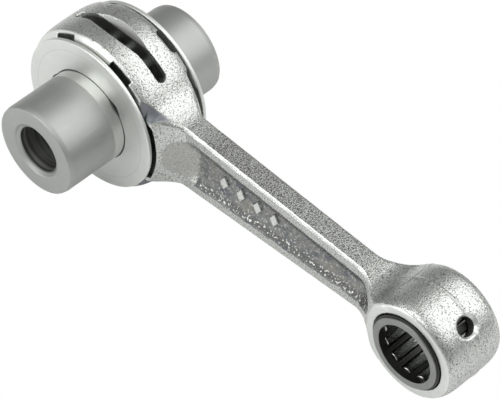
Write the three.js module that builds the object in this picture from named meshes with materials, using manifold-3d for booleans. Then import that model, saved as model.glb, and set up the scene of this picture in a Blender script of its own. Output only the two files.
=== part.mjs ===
// Connecting rod kit of a small two-stroke engine: forged rod, crank pin, big-end
// roller bearing with its two thrust washers, and small-end needle bearing.
// Millimetres, +X from the crank pin to the small end, +Y along the crank pin, +Z up.
// Shapes are drawn about the crank-pin axis at the rod's middle plane; the returned
// group is shifted so that the middle of the whole kit's box is the origin.
import * as THREE from 'three';
import { mergeVertices } from 'three/addons/utils/BufferGeometryUtils.js';
import Module from 'manifold-3d';

const wasm = await Module();
wasm.setup();

// ---------- driving dimensions ----------
const CENTRES = 85;            // crank-pin axis to small-end axis

const PIN_R = 10;
const PIN_LENGTH = 41.7;
const PIN_SHIFT = -1.6;        // the pin floats in its bearing, off the rod's middle plane
const PIN_LEAD = 1.05;         // length of the shallow lead-in at each end
const PIN_LEAD_DEPTH = 0.22;
const PIN_BORE_R = 5.1;
const PIN_SINK_R = 6.2;
const PIN_SINK_DEPTH = 0.8;

const BIG_R = 18.3;            // big end, outside
const BIG_HALF = 6.5;          // half width between the thrust faces
const SMALL_R = 11.1;          // small end, outside, at the middle plane
const SMALL_FACE_R = 10.7;     // outside of its machined faces
const SMALL_HALF = 7.4;
const EDGE = 0.35;             // broken edges of the machined faces

const SHANK_HALF = 2.6;        // half thickness of the shank's flanges
const SHANK_TALL = 8.3;        // half height of the shank at x = SHANK_X0
const SHANK_SHORT = 6.0;       // half height of the shank at x = SHANK_X1
const SHANK_X0 = 20;
const SHANK_X1 = 68;
const BIG_FILLET = 10;         // outline fillets where the shank meets the two ends
const SMALL_FILLET = 9;
const BIG_NECK = [11.5, 22];   // the shank widens to the big end between these stations
const SMALL_NECK = [67, 77.3];  // and to the small end between these
const NECK_STEEPNESS = 1.25;
const RECESS_X = [18.2, 72.5]; // tips of the recess in each side of the shank
const RECESS_RAMP = 26;        // its floor is flat from here
const WEB_HALF = 1.6;          // half thickness of the web between the recesses
const FLANGE_WALL = 2.75;      // height of each flange above and below the recess
const RECESS_DRAFT = 0.55;
const RECESS_TIP = 4.5;          // length of its rounded ends
const CORNER = 0.55;           // chamfer along the flanges

const BEARING = { roller: 1.5, pitch: 11.53, count: 16, rollerLength: 10, gap: 0.03 };
const BIG_CAGE = { inner: 10.6, outer: 12.7, half: 6.3, slack: 0.12 };
const NEEDLES = { roller: 1.24, pitch: 7.26, count: 12, rollerLength: 11.6, gap: 0.03 };
const SMALL_CAGE = { inner: 6.48, outer: 7.98, half: 7.45, shift: -0.7, slack: 0.1 };
const NEEDLE_PHASE = THREE.MathUtils.degToRad(-2.8);
const ROLLER_PHASE = THREE.MathUtils.degToRad(-3);

const WASHER = { r: 16.95, hole: 10.15, thick: 0.9, nearGap: 0.45, farGap: 0.8, edge: 0.25 };
const WASHER_NOTCH = { r: 10.8, halfWidth: 2.1, first: 45, count: 3 };

const SLOT = { from: 46, to: 128, half: 1.12 };  // degrees round the big end
const VEE = { low: 16.5, rise: 3, spread: 1.5, half: 9.5 };
const POCKET = { floor: 6.0, width: 5.6, inner: 11, angles: [66, 120, -66, -120] };
const CRESCENT = { r: 17.4, half: 7.2 };         // the pocket that faces the shank
const OIL_HOLE = { r: 1.95, sink: 2.6, depth: 0.7, outside: 0.6, angle: 46.3 };

const ROUND = 64;              // segments round the large turned faces
const ROLLER_ROUND = 14;
const circumscribed = (radius, segments) => radius / Math.cos(Math.PI / segments);

// ---------- solids and booleans ----------
function toSolid(geometry) {
  const bare = geometry.index ? geometry.toNonIndexed() : geometry.clone();
  bare.deleteAttribute('normal');
  bare.deleteAttribute('uv');
  const merged = mergeVertices(bare, 1e-4);
  const mesh = new wasm.Mesh({
    numProp: 3,
    vertProperties: Float32Array.from(merged.attributes.position.array),
    triVerts: Uint32Array.from(merged.index.array),
  });
  mesh.merge();
  return new wasm.Manifold(mesh);
}

function toGeometry(solid) {
  const mesh = solid.getMesh();
  const geometry = new THREE.BufferGeometry();
  geometry.setAttribute('position', new THREE.BufferAttribute(mesh.vertProperties, 3));
  geometry.setIndex(new THREE.BufferAttribute(mesh.triVerts, 1));
  const flat = geometry.toNonIndexed();
  flat.computeVertexNormals();
  return flat;
}

// A ring or disc turned about Y from [radius, y] points.
function turned(points, segments = ROUND) {
  return new THREE.LatheGeometry(points.map(([r, y]) => new THREE.Vector2(r, y)), segments);
}

function ring(inner, outer, low, high, segments = ROUND) {
  return turned([[inner, low], [outer, low], [outer, high], [inner, high], [inner, low]], segments);
}

function disc(radius, low, high, segments = ROUND) {
  return turned([[0, low], [radius, low], [radius, high], [0, high]], segments);
}

// An outline in X and Z, extruded from y = low to y = high.
function slab(shape, low, high, curveSegments = 12) {
  const geometry = new THREE.ExtrudeGeometry(
    shape, { depth: high - low, bevelEnabled: false, curveSegments });
  return geometry.rotateX(Math.PI / 2).translate(0, high, 0);
}

// A tool turned from [radius, distance] points, standing out from an end's axis at an angle.
function radialTool(points, degrees, centreX, segments = 20) {
  const outline = points.map(([r, distance]) => new THREE.Vector2(r, distance));
  const tool = new THREE.LatheGeometry(outline, segments, Math.PI / segments);
  tool.rotateZ(-Math.PI / 2).rotateY(-THREE.MathUtils.degToRad(degrees));
  return tool.translate(centreX, 0, 0);
}

// ---------- the forged rod ----------
const smooth = (t) => {
  const c = Math.min(1, Math.max(0, t));
  return c * c * (3 - 2 * c);
};
const shankSlope = (SHANK_SHORT - SHANK_TALL) / (SHANK_X1 - SHANK_X0);
const shankLine = (x) => SHANK_TALL + shankSlope * (x - SHANK_X0);

// Centre of the fillet that touches both the end's circle and the shank's straight edge.
function filletCentre(centreX, endR, fillet, side) {
  let x = centreX + side * endR;
  for (let step = 0; step < 60; step++) {
    const z = shankLine(x) + fillet * Math.hypot(1, shankSlope);
    x = centreX + side * Math.sqrt(Math.max(0, (endR + fillet) ** 2 - z ** 2));
  }
  return { x, z: shankLine(x) + fillet * Math.hypot(1, shankSlope), r: fillet };
}
const bigFillet = filletCentre(0, BIG_R - EDGE, BIG_FILLET, 1);
const smallFillet = filletCentre(CENTRES, SMALL_R - EDGE, SMALL_FILLET, -1);

function halfHeight(x) {
  let height = shankLine(x);
  for (const fillet of [bigFillet, smallFillet]) {
    const dx = Math.abs(x - fillet.x);
    const towardsEnd = fillet === bigFillet ? x < fillet.x : x > fillet.x;
    if (dx < fillet.r * 0.75 && towardsEnd) {
      height = Math.max(height, fillet.z - Math.sqrt(fillet.r ** 2 - dx ** 2));
    }
  }
  return height;
}

function halfThickness(x) {
  const big = smooth((BIG_NECK[1] - x) / (BIG_NECK[1] - BIG_NECK[0])) ** NECK_STEEPNESS;
  const small = smooth((x - SMALL_NECK[0]) / (SMALL_NECK[1] - SMALL_NECK[0])) ** NECK_STEEPNESS;
  const inset = 0.15;          // stays just behind the machined faces
  return SHANK_HALF + big * (BIG_HALF - inset - SHANK_HALF) + small * (SMALL_HALF - inset - SHANK_HALF);
}

// A solid lofted through one closed [y, z] outline at each station along X, drawn from +Y to +Z.
function loft(stations, outlineAt) {
  const outlines = stations.map(outlineAt);
  const size = outlines[0].length;
  const positions = stations.flatMap((x, i) => outlines[i].flatMap(([y, z]) => [x, y, z]));
  const index = [];
  for (let i = 0; i + 1 < stations.length; i++) {
    for (let j = 0; j < size; j++) {
      const a = i * size + j;
      const b = i * size + (j + 1) % size;
      index.push(a, b, a + size, b, b + size, a + size);
    }
  }
  const last = (stations.length - 1) * size;
  for (let j = 1; j + 1 < size; j++) index.push(0, j + 1, j, last, last + j, last + j + 1);
  const geometry = new THREE.BufferGeometry();
  geometry.setAttribute('position', new THREE.Float32BufferAttribute(positions, 3));
  geometry.setIndex(index);
  return geometry;
}

function spread(...runs) {
  const stations = runs.flatMap(([from, to, steps]) => (
    Array.from({ length: steps }, (_, k) => from + (to - from) * k / steps)));
  return [...stations, runs.at(-1)[1]];
}

function shank() {
  return loft(spread([9, 24, 20], [24, 64, 4], [64, 79, 20]), (x) => {
    const [t, h] = [halfThickness(x), halfHeight(x)];
    const quarter = [[t, h - CORNER], [t - CORNER, h]];
    const top = [...quarter, ...quarter.slice().reverse().map(([y, z]) => [-y, z])];
    return [...top, ...top.slice().reverse().map(([y, z]) => [y, -z])];
  });
}

// What is taken out of one side of the shank: round tips, and a floor that ramps up to both ends.
function recess(side) {
  const [start, end] = RECESS_X;
  const stations = spread([start + 0.1, start + RECESS_TIP, 8], [start + RECESS_TIP, RECESS_RAMP, 4],
    [RECESS_RAMP, end - RECESS_TIP, 4], [end - RECESS_TIP, end - 0.1, 8]);
  return loft(stations, (x) => {
    const surface = halfThickness(x);
    const inside = Math.min(x - start, end - x, RECESS_TIP);
    const half = (shankLine(x) - FLANGE_WALL) * Math.sqrt(1 - (1 - inside / RECESS_TIP) ** 2);
    const ramp = smooth((RECESS_RAMP - x) / (RECESS_RAMP - start));
    const rise = smooth((x - end + RECESS_TIP) / RECESS_TIP);
    const floor = WEB_HALF + (surface - WEB_HALF) * Math.max(ramp, rise);
    const wall = Math.min(RECESS_DRAFT * (surface - floor), half * 0.5);
    const lift = 0.5;
    const outer = half + RECESS_DRAFT * lift;
    const outline = [
      [floor, -half + wall], [surface + lift, -outer], [surface + lift, outer], [floor, half - wall],
    ];
    return side > 0 ? outline : outline.map(([y, z]) => [-y, z]).reverse();
  });
}

function endDrum(faceR, middleR, half) {
  return turned([
    [0, -half], [faceR - EDGE, -half], [faceR, -half + EDGE], [middleR, 0],
    [faceR, half - EDGE], [faceR - EDGE, half], [0, half],
  ]);
}

// Part of an annulus, drawn in X and Z between two angles in degrees.
function sector(inner, outer, from, to) {
  const [a, b] = [from, to].map(THREE.MathUtils.degToRad);
  const shape = new THREE.Shape();
  shape.absarc(0, 0, outer, a, b, false);
  shape.absarc(0, 0, inner, b, a, true);
  return shape;
}

function oilSlot(side) {
  const endAngle = THREE.MathUtils.radToDeg(SLOT.half / BIG_R);
  const [from, to] = [SLOT.from + endAngle, SLOT.to - endAngle];
  const angles = side > 0 ? [from, to] : [-to, -from];
  const body = slab(sector(BIG_R - 7, BIG_R + 2, ...angles), -SLOT.half, SLOT.half, 24);
  let cut = toSolid(body);
  for (const angle of angles) {
    const end = [[0, BIG_R - 7], [SLOT.half, BIG_R - 7], [SLOT.half, BIG_R + 2], [0, BIG_R + 2]];
    cut = cut.add(toSolid(radialTool(end, angle, 0)));
  }
  return cut;
}

// A wide vee across the middle of each oil slot.
function slotVee(side) {
  const shape = new THREE.Shape();
  shape.moveTo(-SLOT.half, VEE.low);
  shape.lineTo(SLOT.half, VEE.low);
  shape.lineTo(SLOT.half + VEE.spread, VEE.low + VEE.rise);
  shape.lineTo(-SLOT.half - VEE.spread, VEE.low + VEE.rise);
  const prism = new THREE.ExtrudeGeometry(shape, { depth: 2 * VEE.half, bevelEnabled: false });
  prism.translate(0, 0, -VEE.half).rotateX(Math.PI / 2).rotateZ(Math.PI / 2);
  return side > 0 ? prism : prism.rotateX(Math.PI);
}

function thrustPockets(side) {
  const depth = 2;   // well past the face
  const y = side * (POCKET.floor + depth / 2);
  const length = BIG_R + 2 - POCKET.inner;
  let cut = null;
  for (const angle of POCKET.angles) {
    const box = new THREE.BoxGeometry(length, depth, POCKET.width);
    box.translate(POCKET.inner + length / 2, y, 0);
    box.rotateY(-THREE.MathUtils.degToRad(angle));
    cut = cut ? cut.add(toSolid(box)) : toSolid(box);
  }
  const block = new THREE.BoxGeometry(CRESCENT.r, depth, 2 * CRESCENT.half);
  block.translate(POCKET.inner + CRESCENT.r / 2, y, 0);
  const bowl = disc(CRESCENT.r, y - depth / 2, y + depth / 2);
  return cut.add(toSolid(block).intersect(toSolid(bowl)));
}

function forgedRod() {
  const bigBoreR = circumscribed(BEARING.pitch + BEARING.roller + BEARING.gap, ROUND);
  const smallBoreR = circumscribed(NEEDLES.pitch + NEEDLES.roller + NEEDLES.gap, ROUND);
  const smallDrum = endDrum(SMALL_FACE_R, SMALL_R, SMALL_HALF).translate(CENTRES, 0, 0);
  let rod = toSolid(shank())
    .add(toSolid(endDrum(BIG_R - EDGE, BIG_R, BIG_HALF)))
    .add(toSolid(smallDrum))
    .subtract(toSolid(recess(1)))
    .subtract(toSolid(recess(-1)));
  rod = rod.subtract(toSolid(disc(bigBoreR, -20, 20)));
  rod = rod.subtract(toSolid(disc(smallBoreR, -20, 20).translate(CENTRES, 0, 0)));
  const { r, sink, depth, outside } = OIL_HOLE;
  const slope = (sink - r) / depth;
  const oilHole = [
    [0, SMALL_R - 5], [r, SMALL_R - 5], [r, SMALL_R - depth], [sink + slope * outside, SMALL_R + outside],
    [0, SMALL_R + outside],
  ];
  for (const side of [1, -1]) {
    rod = rod.subtract(oilSlot(side)).subtract(toSolid(slotVee(side))).subtract(thrustPockets(side));
    rod = rod.subtract(toSolid(radialTool(oilHole, side * OIL_HOLE.angle, CENTRES)));
  }
  return toGeometry(rod);
}

// ---------- bearings, washers and pin ----------
function crankPin() {
  const half = PIN_LENGTH / 2;
  const face = PIN_R - PIN_LEAD_DEPTH;
  return turned([
    [PIN_BORE_R, -half + PIN_SINK_DEPTH], [PIN_SINK_R, -half], [face, -half], [PIN_R, -half + PIN_LEAD],
    [PIN_R, half - PIN_LEAD], [face, half], [PIN_SINK_R, half], [PIN_BORE_R, half - PIN_SINK_DEPTH],
    [PIN_BORE_R, -half + PIN_SINK_DEPTH],
  ]);
}

function thrustWasher() {
  const { r, hole, thick, edge } = WASHER;
  const half = thick / 2;
  const inner = circumscribed(hole, ROUND);
  let washer = toSolid(turned([
    [inner, -half], [r - edge, -half], [r, -half + edge], [r, half - edge], [r - edge, half],
    [inner, half], [inner, -half],
  ]));
  const length = WASHER_NOTCH.r - hole + 2;
  for (let k = 0; k < WASHER_NOTCH.count; k++) {
    const notch = new THREE.BoxGeometry(length, thick + 1, 2 * WASHER_NOTCH.halfWidth);
    notch.translate(WASHER_NOTCH.r - length / 2, 0, 0);
    notch.rotateY(-THREE.MathUtils.degToRad(WASHER_NOTCH.first + 360 * k / WASHER_NOTCH.count));
    washer = washer.subtract(toSolid(notch));
  }
  return toGeometry(washer);
}

function cage(size, rollers, phase) {
  let solid = toSolid(ring(size.inner, size.outer, -size.half, size.half, 48));
  const width = 2 * (rollers.roller + size.slack);
  const depth = 2 * rollers.roller + 2;
  for (let k = 0; k < rollers.count; k++) {
    const pocket = new THREE.BoxGeometry(depth, rollers.rollerLength + 2 * size.slack, width);
    pocket.translate(rollers.pitch, 0, 0).rotateY(-(phase + 2 * Math.PI * k / rollers.count));
    solid = solid.subtract(toSolid(pocket));
  }
  return toGeometry(solid);
}

function roller(rollers) {
  const half = rollers.rollerLength / 2;
  const end = 0.2;
  return turned([
    [0, -half], [rollers.roller - end, -half], [rollers.roller, -half + end],
    [rollers.roller, half - end], [rollers.roller - end, half], [0, half],
  ], ROLLER_ROUND);
}

// ---------- assembly ----------
const FINISHES = {
  forged: { color: 0xb9bab6, roughness: 0.55, metalness: 0.9 },
  ground: { color: 0xaeb2ad, roughness: 0.3, metalness: 0.95 },
  washer: { color: 0xccd0cb, roughness: 0.4, metalness: 0.8 },
  cage: { color: 0x6d726d, roughness: 0.5, metalness: 0.85 },
  roller: { color: 0x8d908e, roughness: 0.15, metalness: 1 },
};

const kit = new THREE.Group();
kit.position.set(-(CENTRES + SMALL_R - BIG_R) / 2, -PIN_SHIFT, 0);

function place(name, geometry, finish, x = 0, y = 0, z = 0) {
  const mesh = new THREE.Mesh(geometry, new THREE.MeshStandardMaterial(FINISHES[finish]));
  mesh.name = name;
  mesh.position.set(x, y, z);
  kit.add(mesh);
}

function placeRollers(prefix, rollers, phase, x, y) {
  for (let k = 0; k < rollers.count; k++) {
    const angle = phase + 2 * Math.PI * k / rollers.count;
    const name = `${prefix}_${String(k + 1).padStart(2, '0')}`;
    const [dx, dz] = [Math.cos(angle), Math.sin(angle)].map((v) => v * rollers.pitch);
    place(name, roller(rollers), 'roller', x + dx, y, dz);
  }
}

place('connecting_rod', forgedRod(), 'forged');
place('crank_pin', crankPin(), 'ground', 0, PIN_SHIFT, 0);
const washerY = BIG_HALF + WASHER.thick / 2;
place('thrust_washer_near', thrustWasher(), 'washer', 0, -washerY - WASHER.nearGap, 0);
place('thrust_washer_far', thrustWasher(), 'washer', 0, washerY + WASHER.farGap, 0);
place('big_end_cage', cage(BIG_CAGE, BEARING, ROLLER_PHASE), 'cage');
placeRollers('big_end_roller', BEARING, ROLLER_PHASE, 0, 0);
place('small_end_cage', cage(SMALL_CAGE, NEEDLES, NEEDLE_PHASE), 'cage', CENTRES, SMALL_CAGE.shift, 0);
placeRollers('small_end_needle', NEEDLES, NEEDLE_PHASE, CENTRES, SMALL_CAGE.shift);

const model = new THREE.Group();
model.add(kit);
export default model;
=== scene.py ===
import math

import bmesh
import bpy
import numpy as np
from mathutils import Matrix, Vector


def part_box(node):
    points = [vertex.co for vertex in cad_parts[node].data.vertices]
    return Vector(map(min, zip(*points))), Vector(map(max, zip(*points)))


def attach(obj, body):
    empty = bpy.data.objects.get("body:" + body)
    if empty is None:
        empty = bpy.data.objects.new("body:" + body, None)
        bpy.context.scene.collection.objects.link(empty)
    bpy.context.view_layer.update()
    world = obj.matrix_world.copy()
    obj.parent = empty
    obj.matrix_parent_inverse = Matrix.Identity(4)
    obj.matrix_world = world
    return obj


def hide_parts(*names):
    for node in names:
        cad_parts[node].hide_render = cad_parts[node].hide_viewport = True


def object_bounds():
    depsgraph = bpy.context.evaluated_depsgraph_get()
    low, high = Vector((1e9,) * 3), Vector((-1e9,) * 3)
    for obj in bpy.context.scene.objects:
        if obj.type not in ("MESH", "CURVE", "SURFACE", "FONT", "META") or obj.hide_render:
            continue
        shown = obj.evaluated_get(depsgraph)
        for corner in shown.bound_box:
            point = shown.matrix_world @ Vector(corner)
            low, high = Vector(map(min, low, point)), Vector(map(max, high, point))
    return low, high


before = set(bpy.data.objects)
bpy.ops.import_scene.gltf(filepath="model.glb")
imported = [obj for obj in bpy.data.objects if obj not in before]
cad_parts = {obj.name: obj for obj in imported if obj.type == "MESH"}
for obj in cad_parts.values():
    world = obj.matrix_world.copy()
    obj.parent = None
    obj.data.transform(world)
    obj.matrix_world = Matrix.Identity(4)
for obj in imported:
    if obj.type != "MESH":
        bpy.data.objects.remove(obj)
cad_low, cad_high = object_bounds()

MM = 0.001


# ---------- places, from the frame ----------
def middle(node):
    low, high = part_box(node)
    return (low + high) / 2


def half_width(node):
    low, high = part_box(node)
    return (high.y - low.y) / 2 / MM


CRANK = middle("crank_pin")                  # on the crank-pin axis
WRIST = middle("small_end_cage")             # on the small-end axis
ROD_Y = middle("connecting_rod").y           # the rod's middle plane
CENTRES = (WRIST.x - CRANK.x) / MM
ORIGIN = Vector((CRANK.x, ROD_Y, CRANK.z))   # shapes are drawn about this point, in mm

# ---------- driving dimensions, in mm about ORIGIN ----------
# The two ends: each a crowned disc with ground faces.
BIG_R, BIG_CROWN, BIG_HALF = 18.3, 0.75, 6.5
SMALL_R, SMALL_CROWN, SMALL_HALF = 11.15, 0.95, half_width("connecting_rod")
EDGE = 0.32                                  # radius of the faces' broken edges
BIG_BORE_R, SMALL_BORE_R = 13.06, 8.53
BIG_CHAMFER, SMALL_CHAMFER = 0.45, 0.08      # at the mouths of the bores
SEAM_Y, SEAM_HALF, SEAM_RISE = 1.2, 0.35, 0.14    # the parting line left on the small end

# The shank, and how it grows into the ends.
SHANK_HALF = 2.6                             # half thickness
SHANK_TALL, SHANK_SHORT = 8.3, 6.0           # half height at the two stations below
SHANK_X = (20.0, 68.0)
BIG_FILLET, SMALL_FILLET = 13.0, 9.0         # outline's fillets at the ends
BIG_BLEND, SMALL_BLEND = 0.4, 0.9            # fillets where the ends' surfaces meet it
FLANGE_ROUND = 0.65
TOP_CROWN = 0.14                             # how much the flanges fall away towards their edges
BIG_NECK, NECK_POWER = (17.7, 22.5), 1.9     # distances from the crank axis between which it thins
SHOULDER_FULL = 0.5                          # extra fullness of the blasted shoulder
SMALL_NECK, SMALL_NECK_POWER = (67.0, 77.3), 1.25

# The smooth facets beside the neck, and the cone outside a washer's seat.
CHEEK_X, CHEEK_SLOPE = 12.6, 0.87            # start, and fall along X
CHEEK_FAR_SHIFT = 3.0                        # the far facets start this much later
CHEEK_LEAN = (0.35, 0.7)                     # fall with height, and its growth along X
RIM_R, RIM_SLOPE, RIM_FLOOR = 16.3, 0.56, 4.4

# The recess in each side.
RECESS_X = (17.9, 72.6)
RECESS_RAMP = 24.5                           # where the ramp to the big end begins
RECESS_CORNER = 4.3
RECESS_DRAFT = 0.75
RECESS_ROUND = 1.7                           # fillet at the foot of its walls
WEB_HALF = 1.4
FLANGE_WALL = 2.75
PIP_X = (31.5, 36.0, 40.5, 45.0)             # plain raised pips along the web
PIP_HALF, PIP_RISE, PIP_FOOT = (1.1, 1.75), 0.45, 0.12

# Oil ways: angles are in degrees, from the shank's side of each axis.
SLOT_FROM, SLOT_TO, SLOT_HALF = 46.0, 129.0, 1.12
VEE_LOW, VEE_SLOPE = 16.8, 0.7
POCKET_ANGLES, POCKET_HALF, POCKET_FLOOR = (66.0, 120.5), 2.8, 5.4
POCKET_R, POCKET_LEDGES = 17.15, (5.3, 5.8)       # far and near: the far ledges are deeper
CRESCENT_R, CRESCENT_HALF = 17.6, 7.2
OIL_R, OIL_SINK_R, OIL_SINK_DEPTH, OIL_ANGLE = 1.95, 2.6, 0.7, 46.2
FORGED_LIP, MILLED_LIP, DRILLED_LIP, BORED_LIP = 0.35, 0.12, 0.1, 0.06    # the cuts' broken edges

# The loose parts.
PIN_R, PIN_BORE_R, PIN_SINK_R = 10.0, 5.1, 6.2
PIN_SINK, PIN_LEAD, PIN_LEAD_DEPTH = 0.8, 1.05, 0.22
PIN_BAND = 10.3                              # out to here, each way, the pin is polished
PIN_DARK_R = 5.9                             # inside this, the bore is painted darker, streaked with tool marks: painted shade
WASHER_HOLE_R, WASHER_R = 10.15, 16.95
WASHER_LINE_R, WASHER_LINE_HALF = 14.6, 0.12      # a faint worn ring
NOTCHES, NOTCH_DEPTH, NOTCH_AT, NOTCH_REACH = 3, 0.62, 45, 15     # the last two in degrees
CAGE_SHADE_RADII = (6.52, 7.95)                    # the small cage is pale between these radii; inside and outside them it is painted near black, and so is the whole big cage: painted shade
ROLLER_R, ROLLER_HALF, NEEDLE_R, NEEDLE_HALF = 1.5, 5.0, 1.24, 5.8

# The grid for the forging's surface.
CELL = 0.27
SLAB = 64                                    # grid layers worked out at a time
STIFFNESS = 0.08                             # holds a surface point near its cell's middle

# Light and camera, in metres.
FLOOR_GLOW = 0.05
WORLD_STOPS = [(0.0, 0.25), (0.25, 0.33), (0.6, 0.40), (1.0, 0.42)]     # light by height
PANELS = (                                   # name, place, first side, size, radiance
    ("overhead", (0.15, 0.225, 0.315), (-0.83, 0.0, 0.558), (0.568, 0.42), 1.42),
    ("front_overhead", (-0.085, -0.175, 0.29), (1.0, 0.0, 0.0), (0.36, 0.22), 2.2),
    ("front_left", (-0.17, -0.3, 0.04), (0.87, -0.49, 0.0), (0.18, 0.1), 2.8),
)
CAMERA_PLACE = (0.2852, -0.32199, 0.47802)
CAMERA_FORWARD = (-0.44506, 0.50083, -0.74236)
CAMERA_RIGHT = (0.71601, 0.69689, 0.04089)


# ---------- fields: signed distances on arrays ----------
def round_min(a, b, radius):
    """Union of two fields with a fillet."""
    corner = np.hypot(np.maximum(radius - a, 0), np.maximum(radius - b, 0))
    return np.maximum(radius, np.minimum(a, b)) - corner


def round_max(a, b, radius):
    """Intersection of two fields with a rounded edge."""
    return -round_min(-a, -b, radius)


def cut(body, tool, radius):
    """A body without a tool's shape, with the edge rounded."""
    return round_max(body, -tool, radius)


def ease(t):
    """From 0 to 1, level at both ends."""
    t = np.clip(t, 0, 1)
    return t * t * (3 - 2 * t)


def shank_line(x):
    """Half height of the shank's straight edges."""
    slope = (SHANK_SHORT - SHANK_TALL) / (SHANK_X[1] - SHANK_X[0])
    return SHANK_TALL + slope * (x - SHANK_X[0])


def fillet_centre(centre, radius, fillet, side):
    """Centre of the fillet between an end's circle and the shank's straight edge."""
    x = centre + side * radius
    for _ in range(60):
        z = shank_line(x) + fillet
        x = centre + side * math.sqrt(max(0.0, (radius + fillet) ** 2 - z * z))
    return x, shank_line(x) + fillet


def outline_table():
    """Half height of the shank's outline and its slope, at stations along X."""
    xs = np.linspace(5, 82, 1541)
    heights = shank_line(xs)
    for centre, radius, fillet, side in (
        (0.0, BIG_R - 0.35, BIG_FILLET, 1), (CENTRES, SMALL_R - 0.35, SMALL_FILLET, -1),
    ):
        cx, cz = fillet_centre(centre, radius, fillet, side)
        touch = cx + (centre - cx) * fillet / (radius + fillet)
        inside = np.maximum(xs, touch) if side > 0 else np.minimum(xs, touch)
        reach = np.clip(inside - cx, -fillet, fillet)
        arc = cz - np.sqrt(fillet ** 2 - reach ** 2)
        near_end = xs < cx if side > 0 else xs > cx
        heights = np.where(near_end, np.maximum(heights, arc), heights)
    return xs, heights, np.gradient(heights, xs)


OUTLINE = outline_table()


def half_thickness(x, r):
    """Half the shank's thickness, thicker towards both ends, and its slope."""
    t = np.clip((r - BIG_NECK[0]) / (BIG_NECK[1] - BIG_NECK[0]), 0, 1)
    drop = BIG_HALF - SHANK_HALF
    big = drop * (1 - t) ** NECK_POWER
    big_lean = drop * NECK_POWER / (BIG_NECK[1] - BIG_NECK[0]) * (1 - t) ** (NECK_POWER - 1)
    full = SHOULDER_FULL * 4 * t * (1 - t)
    u = (x - SMALL_NECK[0]) / (SMALL_NECK[1] - SMALL_NECK[0])
    small = (SMALL_HALF - 0.15 - SHANK_HALF) * ease(u) ** SMALL_NECK_POWER
    small_lean = 0.75 * ease(4 * u * (1 - u))
    return SHANK_HALF + big + full + small, np.hypot(big_lean, small_lean)


def cheek(x, y, a, h):
    """The smooth facets between the thrust faces and the top of the neck: each turns from
    facing sideways at the face to facing up beside the shank."""
    start = np.where(y > 0, CHEEK_X + CHEEK_FAR_SHIFT, CHEEK_X)
    beside_shank = SHANK_HALF + 0.05 + 0.3 * np.maximum(19 - x, 0)
    edge = np.maximum(BIG_HALF - CHEEK_SLOPE * (x - start), beside_shank) + np.maximum(x - 21, 0)
    lean = CHEEK_LEAN[0] + CHEEK_LEAN[1] * np.maximum(x - 14, 0)
    top = np.interp(x, *OUTLINE[:2])
    return (a - edge - lean * np.maximum(top - h, 0)) / np.sqrt(1 + CHEEK_SLOPE ** 2 + lean ** 2)


def rim_cone(x, y, a, r):
    """A shallow cone round each thrust face, outside the washer's seat: over the near face
    away from the shank, and over the far face beside it."""
    limit = np.maximum(BIG_HALF - RIM_SLOPE * (r - RIM_R), RIM_FLOOR) + np.maximum(r - 20, 0)
    away = np.where(y > 0, ease((13 - x) / 1.5), ease((x - 8.5) / 1.5))
    return (a - limit) / math.hypot(1, RIM_SLOPE) - 2 * away


def forging(x, y, a, h, r, s):
    """Both ends and the shank, before any cut."""
    big = round_max(r - BIG_R + BIG_CROWN * (a / BIG_HALF) ** 4, a - BIG_HALF, EDGE)
    seam = SEAM_RISE * np.exp(-((y - SEAM_Y) / SEAM_HALF) ** 2)
    small = round_max(s - SMALL_R - seam + SMALL_CROWN * (a / SMALL_HALF) ** 6, a - SMALL_HALF, EDGE)
    xs, heights, slopes = OUTLINE
    height, slope = np.interp(x, xs, heights), np.interp(x, xs, slopes)
    thick, lean = half_thickness(x, r)
    height = height - TOP_CROWN * np.clip(a / SHANK_HALF, 0, 2) ** 2
    beam = round_max((h - height) / np.hypot(1, slope), (a - thick) / np.hypot(1, lean), FLANGE_ROUND)
    beam = np.maximum(beam, np.maximum(11 - x, x - 79))
    body = round_max(round_min(beam, big, BIG_BLEND), rim_cone(x, y, a, r), 0.1)
    body = round_max(body, cheek(x, y, a, h), 0.15)
    return round_min(body, small, SMALL_BLEND)


def web_recess(x, a, h):
    """The recess in each side of the shank, with a ramp up to the big end."""
    half = shank_line(x) - FLANGE_WALL + RECESS_DRAFT * (a - SHANK_HALF)
    centre, reach = sum(RECESS_X) / 2, (RECESS_X[1] - RECESS_X[0]) / 2
    sides = (h - half) / math.hypot(1, RECESS_DRAFT)
    outline = round_max(sides, np.abs(x - centre) - reach, RECESS_CORNER)
    t = np.clip((x - BIG_NECK[0]) / (BIG_NECK[1] - BIG_NECK[0]), 0, 1)
    ramp = (BIG_HALF - SHANK_HALF) * (1 - t) ** NECK_POWER + 1.6 * SHOULDER_FULL * t * (1 - t)
    ramp += (SHANK_HALF - WEB_HALF) * ease((RECESS_RAMP - x) / (RECESS_RAMP - RECESS_X[0] - 2.5))
    rise = ease((x - RECESS_X[1] + 4.5) / 4.5)
    floor = WEB_HALF + ramp + 1.2 * rise
    return round_max(outline, floor - a, RECESS_ROUND)


def pips(x, a, z):
    """Low lozenges that stand on the web."""
    lozenge = np.full_like(x, 9.0)
    for px in PIP_X:
        shape = np.abs(x - px) / PIP_HALF[0] + np.abs(z) / PIP_HALF[1] - 1
        lozenge = np.minimum(lozenge, shape * 0.67)
    return round_max(lozenge, a - WEB_HALF - PIP_RISE, 0.15)


def bore(radius, distance, a, half, chamfer):
    """A hole along Y that flares by its chamfer at both ends."""
    flare = np.maximum(a - (half - chamfer), 0)
    return (distance - radius - flare) / np.where(flare > 0, math.sqrt(2), 1)


def oil_slot(x, y, h, r):
    """A curved slot through the big end's rim, with round ends."""
    end = math.degrees(SLOT_HALF / BIG_R)
    low, high = (math.radians(v) for v in (SLOT_FROM + end, SLOT_TO - end))
    angle = np.arctan2(h, x)
    along = np.maximum(np.abs(angle - (low + high) / 2) - (high - low) / 2, 0) * r
    flare = 0.35 * np.maximum(r - (BIG_R - 0.35), 0)
    return np.hypot(along, y) - SLOT_HALF - flare


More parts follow.
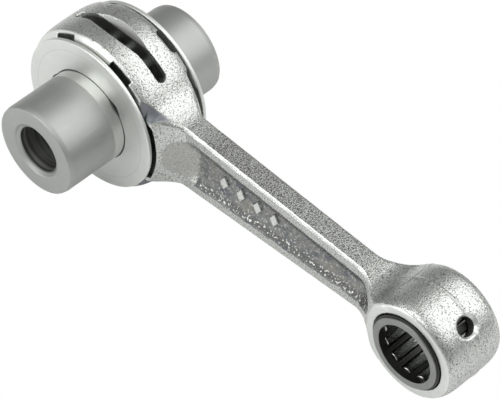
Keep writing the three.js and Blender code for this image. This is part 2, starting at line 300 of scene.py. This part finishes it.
def slot_vee(a, h):
    """A shallow vee milled across the rim, along the slot."""
    return np.maximum((a - SLOT_HALF - VEE_SLOPE * (h - VEE_LOW)) / math.hypot(1, VEE_SLOPE), VEE_LOW - h)


def thrust_pockets(x, y, a, h, r):
    """Oil channels across the thrust faces, each with a shallow ledge outside it, and the
    crescent that faces the shank."""
    tool = np.full_like(x, 9.0)
    for angle in POCKET_ANGLES:
        c, s = math.cos(math.radians(angle)), math.sin(math.radians(angle))
        across = np.abs(-x * s + h * c) - POCKET_HALF
        tool = np.minimum(tool, np.maximum(across, 11 - (x * c + h * s)))
    ledge_round = np.where(y > 0, 0.9, 0.15)
    ledge = round_max(tool, np.where(y > 0, *POCKET_LEDGES) - a, ledge_round)
    channel = round_max(tool, r - POCKET_R, 0.3)
    crescent = round_max(round_max(h - CRESCENT_HALF, r - CRESCENT_R, 0.3), 11 - x, 0.1)
    deep = round_max(np.minimum(channel, crescent), POCKET_FLOOR - a, 0.15)
    return ledge, deep


def oil_hole(x, y, h):
    """A slanting hole through the small end, countersunk at its mouth."""
    c, sn = math.cos(math.radians(OIL_ANGLE)), math.sin(math.radians(OIL_ANGLE))
    u = x - CENTRES
    out, across = u * c + h * sn, -u * sn + h * c
    radius = np.hypot(across, y)
    grow = np.clip(out - (SMALL_R - OIL_SINK_DEPTH), 0, None)
    slope = (OIL_SINK_R - OIL_R) / OIL_SINK_DEPTH
    return np.maximum((radius - OIL_R - slope * grow) / math.hypot(1, slope), 4 - out)


def rod_field(x, y, z):
    """The forged rod: forging, recesses and all machining."""
    a, h = np.abs(y), np.abs(z)
    r, s = np.hypot(x, z), np.hypot(x - CENTRES, z)
    body = forging(x, y, a, h, r, s)
    body = cut(body, web_recess(x, a, h), FORGED_LIP)
    body = round_min(body, pips(x, a, z), PIP_FOOT)
    body = cut(body, np.minimum(*thrust_pockets(x, y, a, h, r)), MILLED_LIP)
    body = cut(body, slot_vee(a, h), BORED_LIP)
    body = cut(body, oil_slot(x, y, h, r), DRILLED_LIP)
    body = cut(body, oil_hole(x, y, h), DRILLED_LIP)
    body = cut(body, bore(BIG_BORE_R, r, a, BIG_HALF, BIG_CHAMFER), BORED_LIP)
    return cut(body, bore(SMALL_BORE_R, s, a, SMALL_HALF, SMALL_CHAMFER), BORED_LIP)


def slope_of(field, points, step=0.03):
    """Unit gradient of a field at points."""
    grad = np.empty_like(points)
    for axis in range(3):
        shift = np.zeros(3, np.float32)
        shift[axis] = step
        ahead, behind = points + shift, points - shift
        grad[:, axis] = field(*ahead.T) - field(*behind.T)
    return grad / np.maximum(np.linalg.norm(grad, axis=1, keepdims=True), 1e-9)


# ---------- meshes ----------
def contour(field, low, high, cell):
    """Vertices and quads of the surface where the field is 0, with its edges kept sharp."""
    axes = [np.arange(a, b + cell, cell, dtype=np.float32) for a, b in zip(low, high)]
    shape = [len(a) for a in axes]
    values = np.empty(shape, np.float32)
    for start in range(0, shape[0], SLAB):
        block = np.meshgrid(axes[0][start:start + SLAB], axes[1], axes[2], indexing="ij")
        values[start:start + SLAB] = field(*block)
    stride = np.array([shape[1] * shape[2], shape[2], 1], np.int64)
    origin = np.array([a[0] for a in axes], np.float32)
    points, cells, quads = [], [], []
    for axis in range(3):
        first = np.take(values, range(shape[axis] - 1), axis)
        second = np.take(values, range(1, shape[axis]), axis)
        index = np.argwhere((first < 0) != (second < 0))
        va, vb = first[tuple(index.T)], second[tuple(index.T)]
        place = origin + index.astype(np.float32) * cell
        t = va / (va - vb)
        for _ in range(2):                   # sharpen the crossing by false position
            trial = place.copy()
            trial[:, axis] += t * cell
            value = field(*trial.T)
            t = np.clip(t + value / (va - vb), 0.0, 1.0)
        place[:, axis] += t * cell
        points.append(place)
        b, c = (axis + 1) % 3, (axis + 2) % 3
        ids = index @ stride
        around = np.stack([ids - stride[b] - stride[c], ids - stride[c], ids, ids - stride[b]], 1)
        cells.append(around)
        quads.append(np.where((va < 0)[:, None], around, around[:, ::-1]))
    points, cells = np.concatenate(points), np.concatenate(cells)
    quads = np.concatenate(quads)
    normals = slope_of(field, points).astype(np.float64)
    used, owner = np.unique(cells, return_inverse=True)
    owner = owner.reshape(cells.shape)
    flat, count = owner.ravel(), len(used)

    def gather(weights):
        return np.bincount(flat, np.repeat(weights, 4), count)

    total = gather(np.ones(len(points)))
    mean = np.stack([gather(points[:, k].astype(np.float64)) / total for k in range(3)], 1)
    offset = np.einsum("ij,ij->i", normals, points.astype(np.float64))
    ata = np.empty((count, 3, 3))
    atb = np.empty((count, 3))
    for i in range(3):
        atb[:, i] = gather(normals[:, i] * offset)
        for j in range(3):
            ata[:, i, j] = gather(normals[:, i] * normals[:, j])
    atb -= np.einsum("nij,nj->ni", ata, mean)
    ata += np.eye(3) * STIFFNESS
    corner = np.stack([used // stride[0], used // stride[1] % shape[1], used % shape[2]], 1)
    base = origin + corner * cell
    vertices = np.clip(mean + np.linalg.solve(ata, atb[..., None])[..., 0], base, base + cell)
    return vertices, np.searchsorted(used, quads)


def to_row(points):
    """Points about ORIGIN in mm, as points of the frame in metres."""
    return np.asarray(points, float) * MM + np.array(ORIGIN)


def new_object(name, vertices, faces, smooth=True):
    mesh = bpy.data.meshes.new(name)
    mesh.from_pydata(np.asarray(vertices).tolist(), [], faces)
    mesh.polygons.foreach_set("use_smooth", [smooth] * len(mesh.polygons))
    mesh.update()
    piece = bpy.data.objects.new(name, mesh)
    bpy.context.scene.collection.objects.link(piece)
    return piece


def paint(piece, name, values):
    """Stores one number for each vertex, for a material to read."""
    layer = piece.data.attributes.new(name, "FLOAT", "POINT")
    layer.data.foreach_set("value", np.asarray(values, np.float32))


def finish_piece(piece, material, body, node):
    """Gives a piece its material and body, and hides its CAD node."""
    piece.data.materials.append(material)
    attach(piece, body)
    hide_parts(node)


def rounded(points, radius, steps=4):
    """A closed outline of [r, y] points with its corners rounded, except on the axis."""
    result = []
    for i, point in enumerate(points):
        here = np.array(point[:2], float)
        own = point[2] if len(point) > 2 else radius
        if own == 0 or here[0] < 1e-9:
            result.append(here)
            continue
        before = np.array(points[i - 1][:2], float) - here
        after = np.array(points[(i + 1) % len(points)][:2], float) - here
        u, v = before / np.linalg.norm(before), after / np.linalg.norm(after)
        turn = math.acos(np.clip(u @ v, -1, 1))
        reach = own / math.tan(turn / 2)
        reach = min(reach, np.linalg.norm(before) * 0.48, np.linalg.norm(after) * 0.48)
        start, end = here + u * reach, here + v * reach
        for k in range(steps + 1):
            t = k / steps
            result.append((1 - t) ** 2 * start + 2 * t * (1 - t) * here + t * t * end)
    return np.array(result)


def turned(name, outline, centre, segments=160, swell=None):
    """A closed [r, y] outline turned about the Y axis through centre. Swell gives what is
    added to the radius at an angle."""
    angles = np.arange(segments) * 2 * math.pi / segments
    radius = outline[:, 0][None, :].repeat(segments, 0)
    if swell is not None:
        radius = radius + swell(angles[:, None], outline[:, 0][None, :])
    x = centre[0] + radius * np.cos(angles)[:, None]
    z = centre[2] + radius * np.sin(angles)[:, None]
    y = centre[1] + np.broadcast_to(outline[:, 1], x.shape)
    vertices = np.stack([x, y, z], -1).reshape(-1, 3)
    size = len(outline)
    faces = []
    for i in range(segments):
        j = (i + 1) % segments
        for k in range(size):
            m = (k + 1) % size
            if outline[k, 0] < 1e-9 and outline[m, 0] < 1e-9:
                continue
            faces.append([i * size + k, i * size + m, j * size + m, j * size + k])
    piece = new_object(name, to_row(vertices), faces)
    tidy(piece)
    return piece


def tidy(piece, sharp=38):
    """Merges doubled points, points the faces out and keeps real corners sharp."""
    work = bmesh.new()
    work.from_mesh(piece.data)
    bmesh.ops.remove_doubles(work, verts=work.verts, dist=1e-7)
    bmesh.ops.recalc_face_normals(work, faces=work.faces)
    work.to_mesh(piece.data)
    work.free()
    piece.data.set_sharp_from_angle(angle=math.radians(sharp))
    piece.data.update()


def cage_angles(pitch, width, count, phase, steps=6):
    """Stations round a cage, and whether a window starts at each."""
    angles, at_window = [], []
    half_angle = width / 2 / pitch
    gap = 2 * math.pi / count - 2 * half_angle
    for k in range(count):
        window = phase + 2 * math.pi * k / count
        angles += [window - half_angle + 2 * half_angle * j / steps for j in range(steps)]
        angles += [window + half_angle + gap * j / steps for j in range(steps)]
        at_window += [True] * steps + [False] * steps
    return angles, at_window


def cage_mesh(name, radii, swell, half, window, count, phase, centre):
    """A ring with a window for each roller, built cell by cell round the axis. Between its
    end collars it is larger by swell. A window is given by its pitch radius, width and length."""
    pitch, width, length = window
    angles, at_window = cage_angles(pitch, width, count, phase)
    edge, collar, step = 0.08, 0.45, 0.5
    lower = [(-half, -edge), (-half + edge, 0.0), (-half + collar, 0.0), (-half + step, swell),
             (-length / 2, swell)]
    levels = lower + [(-y, grow) for y, grow in reversed(lower)]
    window_level = len(lower) - 1
    size = len(angles)
    work = bmesh.new()
    grid = {}

    def corner(i, j, k):
        key = (i % size, j, k)
        if key not in grid:
            a = angles[key[0]]
            height, grow = levels[j]
            r = radii[1] + grow if k else radii[0] - min(grow, 0.0)
            place = (centre[0] + r * math.cos(a), centre[1] + height, centre[2] + r * math.sin(a))
            grid[key] = work.verts.new(to_row(place))
        return grid[key]

    def face(*corners):
        work.faces.new([corner(*c) for c in corners])

    def solid(i, j):
        return 0 <= j < len(levels) - 1 and not (j == window_level and at_window[i % size])

    for i in range(size):
        for j in range(len(levels) - 1):
            if not solid(i, j):
                continue
            for k in (0, 1):
                face((i, j, k), (i + 1, j, k), (i + 1, j + 1, k), (i, j + 1, k))
            for level, beyond in ((j, j - 1), (j + 1, j + 1)):
                if not solid(i, beyond):
                    face((i, level, 0), (i + 1, level, 0), (i + 1, level, 1), (i, level, 1))
            for side, beyond in ((i, i - 1), (i + 1, i + 1)):
                if not solid(beyond, j):
                    face((side, j, 0), (side, j + 1, 0), (side, j + 1, 1), (side, j, 1))
    bmesh.ops.recalc_face_normals(work, faces=work.faces)
    mesh = bpy.data.meshes.new(name)
    work.to_mesh(mesh)
    work.free()
    mesh.polygons.foreach_set("use_smooth", [True] * len(mesh.polygons))
    mesh.set_sharp_from_angle(angle=math.radians(35))
    piece = bpy.data.objects.new(name, mesh)
    bpy.context.scene.collection.objects.link(piece)
    return piece


# ---------- materials ----------
def fill_ramp(ramp, stops):
    """Sets a colour ramp's stops, each a position with a grey level or a colour."""
    while len(ramp.elements) < len(stops):
        ramp.elements.new(0.5)
    for element, (at, colour) in zip(ramp.elements, stops):
        element.position = at
        element.color = colour if isinstance(colour, tuple) else (colour, colour, colour, 1)


class Nodes:
    """Short ways to add and join shader nodes."""

    def __init__(self, name):
        self.material = bpy.data.materials.new(name)
        self.material.use_nodes = True
        self.tree = self.material.node_tree
        self.shader = self.tree.nodes["Principled BSDF"]
        self.coords = self.add("ShaderNodeTexCoord").outputs["Object"]

    def add(self, kind, **inputs):
        node = self.tree.nodes.new(kind)
        for key, value in inputs.items():
            self.put(node.inputs[key.replace("_", " ")], value)
        return node

    def put(self, socket, value):
        if isinstance(value, bpy.types.NodeSocket):
            self.tree.links.new(value, socket)
        else:
            socket.default_value = value

    def noise(self, scale, detail=3.0, rough=0.5, coords=None):
        node = self.add("ShaderNodeTexNoise", Scale=scale, Detail=detail, Roughness=rough)
        self.tree.links.new(coords or self.coords, node.inputs["Vector"])
        return node.outputs["Fac"]

    def stretch(self, scale):
        node = self.add("ShaderNodeMapping", Scale=scale)
        self.tree.links.new(self.coords, node.inputs["Vector"])
        return node.outputs["Vector"]

    def ramp(self, value, stops):
        node = self.add("ShaderNodeValToRGB", Fac=value)
        fill_ramp(node.color_ramp, stops)
        return node.outputs["Color"]

    def mix(self, factor, a, b):
        node = self.tree.nodes.new("ShaderNodeMix")
        node.data_type = "RGBA"
        for socket, value in (("Factor_Float", factor), ("A_Color", a), ("B_Color", b)):
            target = next(s for s in node.inputs if s.identifier == socket)
            self.put(target, value)
        return next(s for s in node.outputs if s.identifier == "Result_Color")

    def maths(self, operation, a, b=0.0, clamp=False):
        node = self.tree.nodes.new("ShaderNodeMath")
        node.operation = operation
        node.use_clamp = clamp
        for socket, value in zip(node.inputs, (a, b)):
            self.put(socket, value)
        return node.outputs[0]

    def attribute(self, name):
        node = self.tree.nodes.new("ShaderNodeAttribute")
        node.attribute_name = name
        return node.outputs["Fac"]

    def bump(self, height, distance, strength):
        node = self.add("ShaderNodeBump", Height=height, Distance=distance, Strength=strength)
        return node.outputs["Normal"]

    def axis_coords(self, x, z):
        """Distance from a Y axis through (x, z), and Y."""
        split = self.add("ShaderNodeSeparateXYZ", Vector=self.coords)
        dx = self.maths("SUBTRACT", split.outputs["X"], x)
        dz = self.maths("SUBTRACT", split.outputs["Z"], z)
        squares = self.maths("ADD", self.maths("MULTIPLY", dx, dx), self.maths("MULTIPLY", dz, dz))
        return self.maths("SQRT", squares), split.outputs["Y"]

    def done(self, **inputs):
        """Sets the shader's own inputs and gives back the material."""
        for key, value in inputs.items():
            self.put(self.shader.inputs[key.replace("_", " ")], value)
        return self.material


def grey(value, warm=0.0):
    """A metal's colour: the steels here lean a little to green, or to brown with warm."""
    return (value * (0.985 + warm), value * 1.01, value * (0.975 - warm), 1)


def forged_steel():
    """Blasted steel with ground faces, smooth facets and patches of dark scale, and painted shade on the
    shank's top, on the recess walls and deep in the cuts.
    """
    n = Nodes("forged_steel")
    ground, scale, facet = n.attribute("ground"), n.attribute("scale"), n.attribute("cheek")
    grain = n.noise(3000, 2.0, 0.6)

    speckle = n.ramp(grain, [(0.36, grey(0.20, 0.01)), (0.45, grey(0.60)), (0.6, grey(0.69))])
    blotch = n.ramp(n.noise(420, 3.0, 0.6), [(0.4, 0.0), (0.72, 0.25)])
    blasted = n.mix(blotch, speckle, grey(0.54, 0.02))
    # painted shade: the shank's up-facing top takes this darker pitted colour instead of the brighter
    # blasted one
    pitted_shade = n.ramp(grain, [(0.38, grey(0.13, 0.01)), (0.50, grey(0.42, 0.01)), (0.62, grey(0.52))])
    blasted = n.mix(n.attribute("painted_shade"), blasted, pitted_shade)
    blasted = n.mix(n.attribute("ramp"), blasted, grey(0.38, 0.025))

    blue, mid, pale, brown = (
        (0.15, 0.165, 0.19, 1), (0.245, 0.25, 0.25, 1), (0.30, 0.30, 0.285, 1), (0.28, 0.25, 0.21, 1))
    tints = n.ramp(n.noise(260, 4.0, 0.65), [(0.36, blue), (0.48, mid), (0.6, pale), (0.72, brown)])
    # painted shade: the recess walls, everything but the sideways-facing web floor, take a near-black
    # grey
    tints = n.mix(n.attribute("recess_wall_shade"), tints, grey(0.09, 0.01))
    worn = n.maths("MULTIPLY", n.maths("SUBTRACT", 1.0, scale), 0.12)
    flecks = n.ramp(n.maths("ADD", n.noise(2100, 2.0, 0.6), worn), [(0.56, 0.0), (0.66, 0.8)])
    scaled = n.mix(flecks, tints, grey(0.66))

    machined = n.mix(n.noise(900, 3.0), grey(0.76), grey(0.86))
    # painted shade deep in the cuts: a darker grey inside the slot, the vee, the oil channels and the oil
    # hole
    machined = n.mix(n.attribute("cut_shade"), machined, grey(0.42, 0.01))
    smooth = n.mix(n.noise(300, 3.0), (0.22, 0.235, 0.255, 1), (0.27, 0.285, 0.31, 1))
    covered = n.maths("MULTIPLY", scale, 1.5, clamp=True)
    colour = n.mix(facet, n.mix(covered, blasted, scaled), smooth)
    colour = n.mix(ground, colour, machined)

    roughness = n.ramp(grain, [(0.3, 0.36), (0.7, 0.23)])
    for where, level in ((scale, 0.32), (facet, 0.52), (ground, 0.36)):
        roughness = n.mix(where, roughness, (level, level, level, 1))
    rough_part = n.maths("SUBTRACT", 1.0, n.maths("MAXIMUM", ground, facet), clamp=True)
    unscaled = n.maths("SUBTRACT", 1.0, n.maths("MULTIPLY", scale, 0.6))
    relief = n.maths("MULTIPLY", grain, n.maths("MULTIPLY", rough_part, unscaled))
    normal = n.bump(relief, 0.00016, 0.6)
    return n.done(Base_Color=colour, Metallic=1.0, Roughness=roughness, Normal=normal)


def ground_pin_steel():
    """Ground steel with fine rings and scratches, polished over the middle of the pin."""
    n = Nodes("ground_pin_steel")
    radius, y = n.axis_coords(CRANK.x, CRANK.z)
    rings = n.noise(700, 2.0, 0.5, n.stretch((0.05, 9.0, 0.05)))
    cloud = n.noise(140, 3.0, 0.55)
    colour = n.mix(cloud, grey(0.43), grey(0.48))
    scratches = n.ramp(n.noise(260, 3.0, 0.4, n.stretch((1.2, 0.25, 3.0))), [(0.66, 0.0), (0.72, 0.3)])
    colour = n.mix(scratches, colour, grey(0.6))
    out = n.maths("ABSOLUTE", n.maths("SUBTRACT", y, ROD_Y))
    band = n.maths("LESS_THAN", out, PIN_BAND * MM)
    colour = n.mix(band, colour, grey(0.6))
    # painted shade in the pin's bore: a darker grey, streaked with tool marks
    bore_shade = n.maths("LESS_THAN", radius, PIN_DARK_R * MM)
    tool_marks = n.noise(1500, 2.0, 0.5, n.stretch((0.03, 1.0, 0.03)))
    tool_marks = n.ramp(tool_marks, [(0.4, 0.0), (0.6, 1.0)])
    colour = n.mix(bore_shade, colour, n.mix(tool_marks, grey(0.16), grey(0.46)))
    roughness = n.mix(band, (0.5, 0.5, 0.5, 1), (0.26, 0.26, 0.26, 1))
    normal = n.bump(rings, 0.00003, 0.35)
    return n.done(Base_Color=colour, Metallic=1.0, Roughness=roughness, Normal=normal)


def washer_steel():
    """Pale tumbled steel, with one faint ring."""
    n = Nodes("washer_steel")
    cloud = n.noise(330, 4.0, 0.6)
    colour = n.mix(cloud, grey(0.76), grey(0.84))
    radius, _ = n.axis_coords(CRANK.x, CRANK.z)
    line = n.maths("ABSOLUTE", n.maths("SUBTRACT", radius, WASHER_LINE_R * MM))
    line = n.maths("LESS_THAN", line, WASHER_LINE_HALF * MM)
    colour = n.mix(n.maths("MULTIPLY", line, 0.25), colour, grey(0.5))
    normal = n.bump(n.noise(900, 3.0, 0.6), 0.00003, 0.5)
    return n.done(Base_Color=colour, Metallic=1.0, Roughness=0.48, Normal=normal)


def cage_steel():
    """Dark phosphated steel; painted shade makes the small cage's walls darker than its end faces, and
    the whole big cage as dark.
    """
    n = Nodes("cage_steel")
    radius, _ = n.axis_coords(WRIST.x, WRIST.z)
    colour = n.mix(n.noise(500, 3.0), grey(0.29), grey(0.35))
    # painted shade: walls inside and outside these radii, which takes in all of the big-end cage, are
    # near black
    inner_shade = n.maths("LESS_THAN", radius, CAGE_SHADE_RADII[0] * MM)
    outer_shade = n.maths("GREATER_THAN", radius, CAGE_SHADE_RADII[1] * MM)
    colour = n.mix(n.maths("MAXIMUM", inner_shade, outer_shade), colour, grey(0.07, 0.01))
    normal = n.bump(n.noise(1500, 2.0), 0.00003, 0.5)
    return n.done(Base_Color=colour, Metallic=1.0, Roughness=0.36, Normal=normal)


def roller_steel():
    """Bright polished steel for rollers and needles."""
    n = Nodes("roller_steel")
    colour = n.mix(n.noise(400, 2.0), grey(0.42), grey(0.48))
    return n.done(Base_Color=colour, Metallic=1.0, Roughness=0.15)


# ---------- the forged rod ----------
def machined_masks(x, y, z, side):
    """The thrust faces with their rims, all the other cuts, and the deep parts of the cuts that are
    painted darker as painted shade, from 0 to 1.
    Side is how much each point faces sideways."""
    a, h = np.abs(y), np.abs(z)
    r, s = np.hypot(x, z), np.hypot(x - CENTRES, z)
    at_big, at_small = r < BIG_R + 0.7, np.abs(x - CENTRES) < SMALL_R + 0.85
    edge = ease((side - 0.25) / 0.3)
    face = ease((a - BIG_HALF + 0.3) / 0.15) * (r < BIG_NECK[0]) * edge
    rim = (rim_cone(x, y, a, r) > -0.08) * (y < 0) * ease((BIG_R - 0.15 - r) / 0.2)
    small_face = ease((a - SMALL_HALF + 0.35) / 0.15) * (s < SMALL_R) * edge
    bores = ((r < BIG_BORE_R + 0.5) | (s < SMALL_BORE_R + 0.5)).astype(float)
    slot = (oil_slot(x, y, h, r) < 0.12) & (r < BIG_R - 0.25) & at_big
    vee = (slot_vee(a, h) < 0.08) & (r < BIG_R - 0.1) & at_big
    ledge, deep = thrust_pockets(x, y, a, h, r)
    pocket = (a > POCKET_FLOOR - 0.2) & (np.minimum(ledge, deep) < 0.1)
    channel = pocket & (deep < 0.1) & (r < POCKET_R - 0.15) & (a < 6.1)
    hole = (oil_hole(x, y, h) < 0.15) & at_small
    pip = (pips(x, a, z) < 0.06) & (a < SHANK_HALF) & (a > WEB_HALF + 0.12)
    cuts = np.maximum.reduce([small_face, bores, slot, vee, pocket, hole, pip])
    # painted shade: the deep parts of the slot, the vee, the oil channels and the oil hole below its
    # countersink are painted darker
    painted_shade = np.maximum.reduce([slot & (r < BIG_R - 1.0), vee, channel,
                              hole & (s < SMALL_R - OIL_SINK_DEPTH)])
    return np.maximum(face, rim), cuts, painted_shade.astype(float)


def rod_masks(points, normals):
    """How much of each finish every point of the rod has, from 0 to 1."""
    x, y, z = points.T
    a, h, r = np.abs(y), np.abs(z), np.hypot(x, z)
    side, up = np.abs(normals[:, 1]), np.abs(normals[:, 2])
    face, cuts, deep_cut_shade = machined_masks(x, y, z, side)

    smooth = ease((cheek(x, y, a, h) + 0.14) / 0.1) * (r > 15.5)
    smooth = smooth * (x > CHEEK_X) * ease((21.5 - x) / 2)

    flange_edge = ease((side - 0.25) / 0.3) * (1 - ease((side - 0.88) / 0.08)) * ease((up - 0.25) / 0.2)
    flange_edge = flange_edge * ease((x - 21) / 2) * ease((74 - x) / 3)
    flange_edge = flange_edge * (a > SHANK_HALF - 0.6) * (h > shank_line(x) - 1.2)

    in_recess = web_recess(x, a, h) < 0.3
    # the up-facing top of the shank, which is painted darker as painted shade
    top = ease((up - 0.6) / 0.25) * ease((x - 21) / 9) * ease((74 - x) / 9)
    return {
        "ground": np.maximum.reduce([face * (1 - smooth), cuts, 0.85 * flange_edge]),
        "scale": ease((x - RECESS_RAMP + 1.2) / 2.4) * in_recess,
        # painted shade on the recess walls
        "recess_wall_shade": 1 - ease((side - 0.86) / 0.12),
        # painted shade deep inside the cuts
        "cut_shade": deep_cut_shade,
        "ramp": 0.7 * ease((RECESS_RAMP + 1.2 - x) / 2.4) * in_recess * (x > 15),
        "cheek": smooth,
        # painted shade on the shank's up-facing top, outside the recess
        "painted_shade": top * (in_recess < 0.5),
    }


def connecting_rod(material):
    """The forging, with its normals taken from the field and its finishes painted on."""
    low = (-BIG_R - 3 * CELL, -SMALL_HALF - 3 * CELL, -BIG_R - 3 * CELL)
    high = (CENTRES + SMALL_R + 3 * CELL, SMALL_HALF + 3 * CELL, BIG_R + 3 * CELL)
    vertices, quads = contour(rod_field, low, high, CELL)
    piece = new_object("forged_rod", to_row(vertices), quads.tolist())
    middles = vertices[quads].mean(1)
    corners = (vertices[quads] * 0.75 + middles[:, None] * 0.25).reshape(-1, 3)
    normals = slope_of(rod_field, corners.astype(np.float32), 0.02)
    piece.data.normals_split_custom_set(normals.tolist())
    facing = slope_of(rod_field, vertices.astype(np.float32), 0.05)
    for name, values in rod_masks(vertices, facing).items():
        paint(piece, name, values)
    finish_piece(piece, material, "rod", "connecting_rod")


# ---------- turned parts ----------
def crank_pin(material):
    """A hollow pin with a small lead-in at each end."""
    half = half_width("crank_pin")
    end = [(PIN_BORE_R, half - PIN_SINK, 0.15), (PIN_SINK_R, half, 0.2),
           (PIN_R - PIN_LEAD_DEPTH, half, 0.25), (PIN_R, half - PIN_LEAD, 0.6)]
    outline = rounded([(r, -y, own) for r, y, own in end] + end[::-1], 0.2)
    centre = (CRANK - ORIGIN) / MM
    piece = turned("hollow_crank_pin", outline, centre, 256)
    finish_piece(piece, material, "crank_pin", "crank_pin")


def notch_swell(angles, radius):
    """Shallow smooth scallops in a washer's hole."""
    bite = np.zeros_like(angles + radius)
    for k in range(NOTCHES):
        at = math.radians(NOTCH_AT + 360 / NOTCHES * k)
        away = (angles - at + math.pi) % (2 * math.pi) - math.pi
        bite += NOTCH_DEPTH * ease(1 - np.abs(away) / math.radians(NOTCH_REACH)) * (radius < 10.8)
    return bite


def thrust_washer(node, material):
    """A thin disc with a scalloped hole."""
    half = half_width(node)
    outline = rounded([(WASHER_HOLE_R, -half), (WASHER_R, -half, 0.3), (WASHER_R, half, 0.3),
                       (WASHER_HOLE_R, half)], 0.12, 5)
    centre = (middle(node) - ORIGIN) / MM
    piece = turned(node.replace("thrust_", "") + "_disc", outline, centre, 256, notch_swell)
    finish_piece(piece, material, node, node)


def cages(material):
    """Both roller cages: the big end's is plain, the small end's steps out past its collars."""
    for name, node, radii, swell, half, window, count, phase in (
        ("roller_cage", "big_end_cage", (10.6, 12.7), 0.0, 6.3, (11.53, 3.24, 10.24), 16, -3),
        ("needle_cage", "small_end_cage", (6.48, 7.95), 0.4, 7.45, (7.26, 2.68, 11.8), 12, -2.8),
    ):
        centre = (middle(node) - ORIGIN) / MM
        piece = cage_mesh(name, radii, swell, half, window, count, math.radians(phase), centre)
        finish_piece(piece, material, node, node)


def rollers(prefix, count, radius, half, material):
    """One bearing's rollers, each in its own node's place."""
    for k in range(count):
        node = f"{prefix}_{k + 1:02d}"
        outline = rounded([(0, -half), (radius, -half, 0.35), (radius, half, 0.35), (0, half)], 0.3, 4)
        centre = (middle(node) - ORIGIN) / MM
        piece = turned(node.replace("end_", "") + "_pin", outline, centre, 40)
        finish_piece(piece, material, node, node)


# ---------- stage, lights and camera ----------
def floor_paint():
    """Plain white to the eye; a pale diffuse floor for the light that it throws on the object."""
    material = bpy.data.materials.new("pale_floor")
    material.use_nodes = True
    tree = material.node_tree
    tree.nodes.clear()
    seen, glow = (tree.nodes.new("ShaderNodeEmission") for _ in range(2))
    seen.inputs["Strength"].default_value = 1.0
    glow.inputs["Strength"].default_value = FLOOR_GLOW
    diffuse = tree.nodes.new("ShaderNodeBsdfDiffuse")
    diffuse.inputs["Color"].default_value = (0.85, 0.85, 0.85, 1)
    both = tree.nodes.new("ShaderNodeAddShader")
    choose = tree.nodes.new("ShaderNodeMixShader")
    ray = tree.nodes.new("ShaderNodeLightPath")
    out = tree.nodes.new("ShaderNodeOutputMaterial")
    for source, target in (
        (glow.outputs[0], both.inputs[0]), (diffuse.outputs[0], both.inputs[1]),
        (ray.outputs["Is Camera Ray"], choose.inputs[0]), (both.outputs[0], choose.inputs[1]),
        (seen.outputs[0], choose.inputs[2]), (choose.outputs[0], out.inputs["Surface"]),
    ):
        tree.links.new(source, target)
    return material


def pale_floor():
    """A wide floor just under the object."""
    size, level = 4.0, cad_low.z - 0.0002
    floor = new_object("pale_floor", [(-size, -size, level), (size, -size, level), (size, size, level),
                                      (-size, size, level)], [[0, 1, 2, 3]], False)
    floor.data.materials.append(floor_paint())


def studio():
    """An even grey surround, a little lighter above."""
    world = bpy.data.worlds.new("studio")
    bpy.context.scene.world = world
    world.use_nodes = True
    tree = world.node_tree
    background = tree.nodes["Background"]
    coords = tree.nodes.new("ShaderNodeTexCoord")
    split = tree.nodes.new("ShaderNodeSeparateXYZ")
    tree.links.new(coords.outputs["Generated"], split.inputs[0])
    ramp = tree.nodes.new("ShaderNodeValToRGB")
    tree.links.new(split.outputs["Z"], ramp.inputs["Fac"])
    fill_ramp(ramp.color_ramp, [(at, (value, value, value * 0.98, 1)) for at, value in WORLD_STOPS])
    tree.links.new(ramp.outputs["Color"], background.inputs["Color"])
    background.inputs["Strength"].default_value = 1.0


def softbox(name, place, across, size, radiance):
    """A rectangular panel that faces the object, its first side along across, of that radiance."""
    lamp = bpy.data.lights.new(name, "AREA")
    lamp.shape = "RECTANGLE"
    lamp.size, lamp.size_y = size
    lamp.energy = radiance * math.pi * size[0] * size[1]
    holder = bpy.data.objects.new(name, lamp)
    bpy.context.scene.collection.objects.link(holder)
    away = Vector(place).normalized()
    across = Vector(across)
    across = (across - away * across.dot(away)).normalized()
    turn = Matrix((across, away.cross(across), away)).transposed()
    holder.matrix_world = Matrix.Translation(place) @ turn.to_4x4()
    holder.visible_camera = False


def camera():
    """A long lens from the front right, above."""
    data = bpy.data.cameras.new("camera")
    data.lens, data.sensor_width = 238.71, 36.0
    data.shift_x, data.shift_y = 0.0034, -0.00444
    data.clip_start, data.clip_end = 0.05, 20
    holder = bpy.data.objects.new("camera", data)
    bpy.context.scene.collection.objects.link(holder)
    forward = Vector(CAMERA_FORWARD).normalized()
    right = Vector(CAMERA_RIGHT)
    right = (right - forward * right.dot(forward)).normalized()
    up = right.cross(forward)
    turn = Matrix((right, up, -forward)).transposed()
    holder.matrix_world = Matrix.Translation(CAMERA_PLACE) @ turn.to_4x4()
    bpy.context.scene.camera = holder


def main():
    bpy.context.scene.view_settings.view_transform = "Standard"
    camera()
    pale_floor()
    studio()
    for panel in PANELS:
        softbox(*panel)
    connecting_rod(forged_steel())
    crank_pin(ground_pin_steel())
    washer = washer_steel()
    thrust_washer("thrust_washer_near", washer)
    thrust_washer("thrust_washer_far", washer)
    cages(cage_steel())
    roller = roller_steel()
    rollers("big_end_roller", 16, ROLLER_R, ROLLER_HALF, roller)
    rollers("small_end_needle", 12, NEEDLE_R, NEEDLE_HALF, roller)


main()
